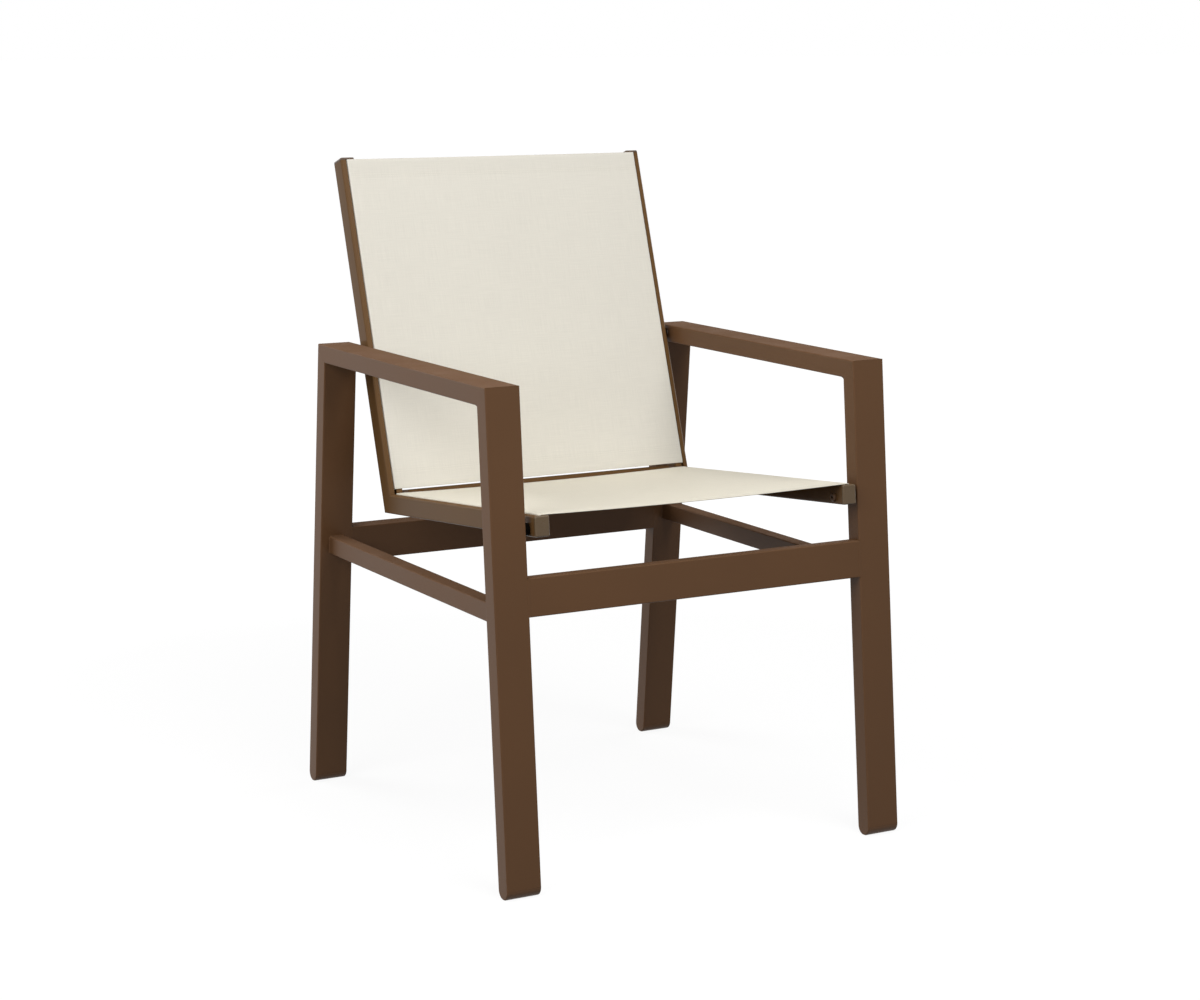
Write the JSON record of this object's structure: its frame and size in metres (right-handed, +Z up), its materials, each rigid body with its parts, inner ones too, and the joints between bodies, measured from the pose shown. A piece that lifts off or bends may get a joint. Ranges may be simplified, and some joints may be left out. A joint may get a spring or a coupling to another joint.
{
  "type": "sling patio chair",
  "caption": "Rigid armchair of flat rectangular tube with square arms, raked legs and a seat and back of cloth stretched between slotted rails.",
  "frame": {"origin": "on the floor, under the middle of the chair's bounding box", "axes": "+Z up, the sitter faces -Y, +X to the sitter's left, mirrored about X = 0"},
  "size_m": [0.6052, 0.6454, 0.9092],
  "materials": {
    "frame_paint": "satin powder coat, bronze brown, very fine grain",
    "rail_paint": "satin powder coat, bronze brown, on drawn aluminium section",
    "bolt_paint": "satin brown coated steel bolt",
    "foot_plastic": "matte dark brown moulded plastic",
    "cap_plastic": "matte brown moulded plastic",
    "black_nylon": "matte black nylon",
    "back_cloth": "cream coated mesh cloth, fine basket weave",
    "seat_cloth": "cream coated mesh cloth, fine basket weave",
    "spline_plastic": "smooth pale plastic rod",
    "plain_steel": "bright zinc plated steel",
    "cast_key": "raw extruded aluminium"
  },
  "bodies": {
    "root": {"front_apron_rail": "frame_paint", "rear_apron_rail": "frame_paint", "left_front_leg": "frame_paint", "left_arm_rail": "frame_paint", "left_rear_leg": "frame_paint", "left_side_stretcher": "frame_paint", "left_front_foot": "foot_plastic", "left_rear_foot": "foot_plastic", "left_seat_rail": "rail_paint", "left_back_rail": "rail_paint", "left_corner_key": "cast_key", "left_seat_rail_cap": "cap_plastic", "left_back_rail_cap": "cap_plastic", "left_front_bolt": "bolt_paint", "left_front_spacer": "black_nylon", "left_front_rivet_nut": "plain_steel", "left_rear_bolt": "bolt_paint", "left_rear_spacer": "black_nylon", "left_rear_rivet_nut": "plain_steel", "left_bend_spreader_plug": "cap_plastic", "left_bend_spreader_washer": "black_nylon", "left_seat_spreader_plug": "cap_plastic", "left_seat_spreader_washer": "black_nylon", "left_back_spreader_plug": "cap_plastic", "left_back_spreader_washer": "black_nylon", "left_back_spline": "spline_plastic", "left_seat_spline": "spline_plastic", "right_front_leg": "frame_paint", "right_arm_rail": "frame_paint", "right_rear_leg": "frame_paint", "right_side_stretcher": "frame_paint", "right_front_foot": "foot_plastic", "right_rear_foot": "foot_plastic", "right_seat_rail": "rail_paint", "right_back_rail": "rail_paint", "right_corner_key": "cast_key", "right_seat_rail_cap": "cap_plastic", "right_back_rail_cap": "cap_plastic", "right_front_bolt": "bolt_paint", "right_front_spacer": "black_nylon", "right_front_rivet_nut": "plain_steel", "right_rear_bolt": "bolt_paint", "right_rear_spacer": "black_nylon", "right_rear_rivet_nut": "plain_steel", "right_bend_spreader_plug": "cap_plastic", "right_bend_spreader_washer": "black_nylon", "right_seat_spreader_plug": "cap_plastic", "right_seat_spreader_washer": "black_nylon", "right_back_spreader_plug": "cap_plastic", "right_back_spreader_washer": "black_nylon", "right_back_spline": "spline_plastic", "right_seat_spline": "spline_plastic", "bend_spreader_bar": "rail_paint", "seat_spreader_bar": "rail_paint", "back_spreader_bar": "rail_paint", "back_sling": "back_cloth", "seat_sling": "seat_cloth"}
  },
  "joints": []
}
